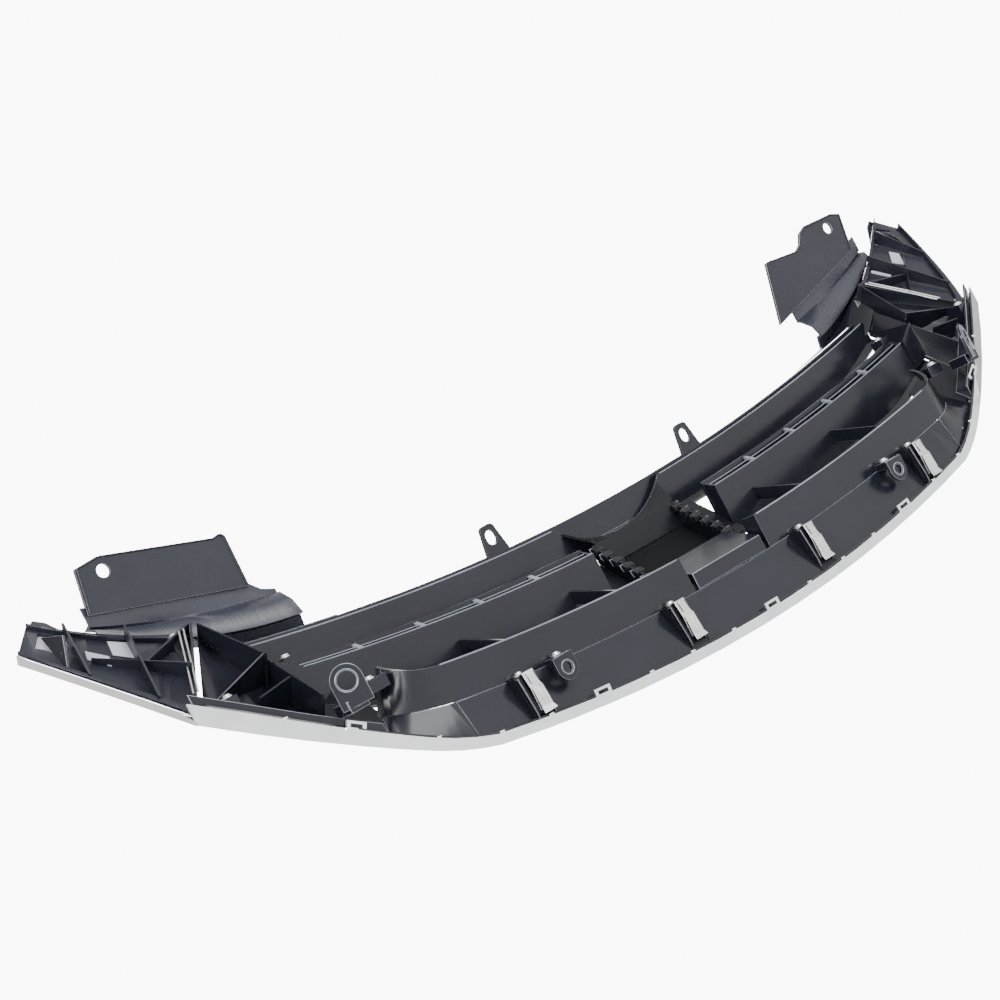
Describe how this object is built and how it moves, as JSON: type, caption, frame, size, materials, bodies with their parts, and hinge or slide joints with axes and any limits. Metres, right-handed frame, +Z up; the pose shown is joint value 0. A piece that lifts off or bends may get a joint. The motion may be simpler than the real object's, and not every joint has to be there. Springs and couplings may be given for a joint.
{
  "type": "front grille",
  "caption": "Bow-shaped car front grille with cross bars, a central badge pocket, a bright lower moulding, side wings and mounting flaps.",
  "frame": {"origin": "midway between the two central tab slots, at half the tab thickness", "axes": "+X to the vehicle's left, -Y to the front of the vehicle, +Z up"},
  "size_m": [1.0624, 0.2913, 0.1796],
  "materials": {
    "slate_plastic": "semi-gloss moulded",
    "gloss_black": "gloss",
    "matt_black": "matt moulded",
    "badge_grey": "satin",
    "chrome": "bright plated",
    "spring_steel": "zinc plated",
    "screw_steel": "zinc plated"
  },
  "bodies": {
    "root": {"top_cover": "slate_plastic", "upper_bar_trim": "gloss_black", "middle_bar_left": "slate_plastic", "middle_bar_right": "slate_plastic", "middle_bar_trim_left": "gloss_black", "middle_bar_trim_right": "gloss_black", "lower_frame_left": "slate_plastic", "lower_frame_right": "slate_plastic", "lower_panel": "slate_plastic", "center_deck": "slate_plastic", "lower_corner_left": "slate_plastic", "lower_corner_right": "slate_plastic", "lower_rail_left": "slate_plastic", "lower_rail_right": "slate_plastic", "lower_bar_trim": "gloss_black", "badge_pocket": "matt_black", "badge_base": "badge_grey", "chrome_moulding": "chrome", "wing_left": "slate_plastic", "wing_right": "slate_plastic", "wing_trim_left": "chrome", "wing_trim_right": "chrome", "side_frame_left": "slate_plastic", "side_frame_right": "slate_plastic", "side_cover_left": "slate_plastic", "side_cover_right": "slate_plastic", "mounting_flap_left": "slate_plastic", "mounting_flap_right": "slate_plastic", "ring_bracket_left": "slate_plastic", "ring_bracket_right": "slate_plastic", "lug_bracket_left": "slate_plastic", "lug_bracket_right": "slate_plastic", "clip_holders": "matt_black", "spring_clips": "spring_steel", "clip_screws": "screw_steel", "frame_screws": "screw_steel"}
  },
  "joints": []
}
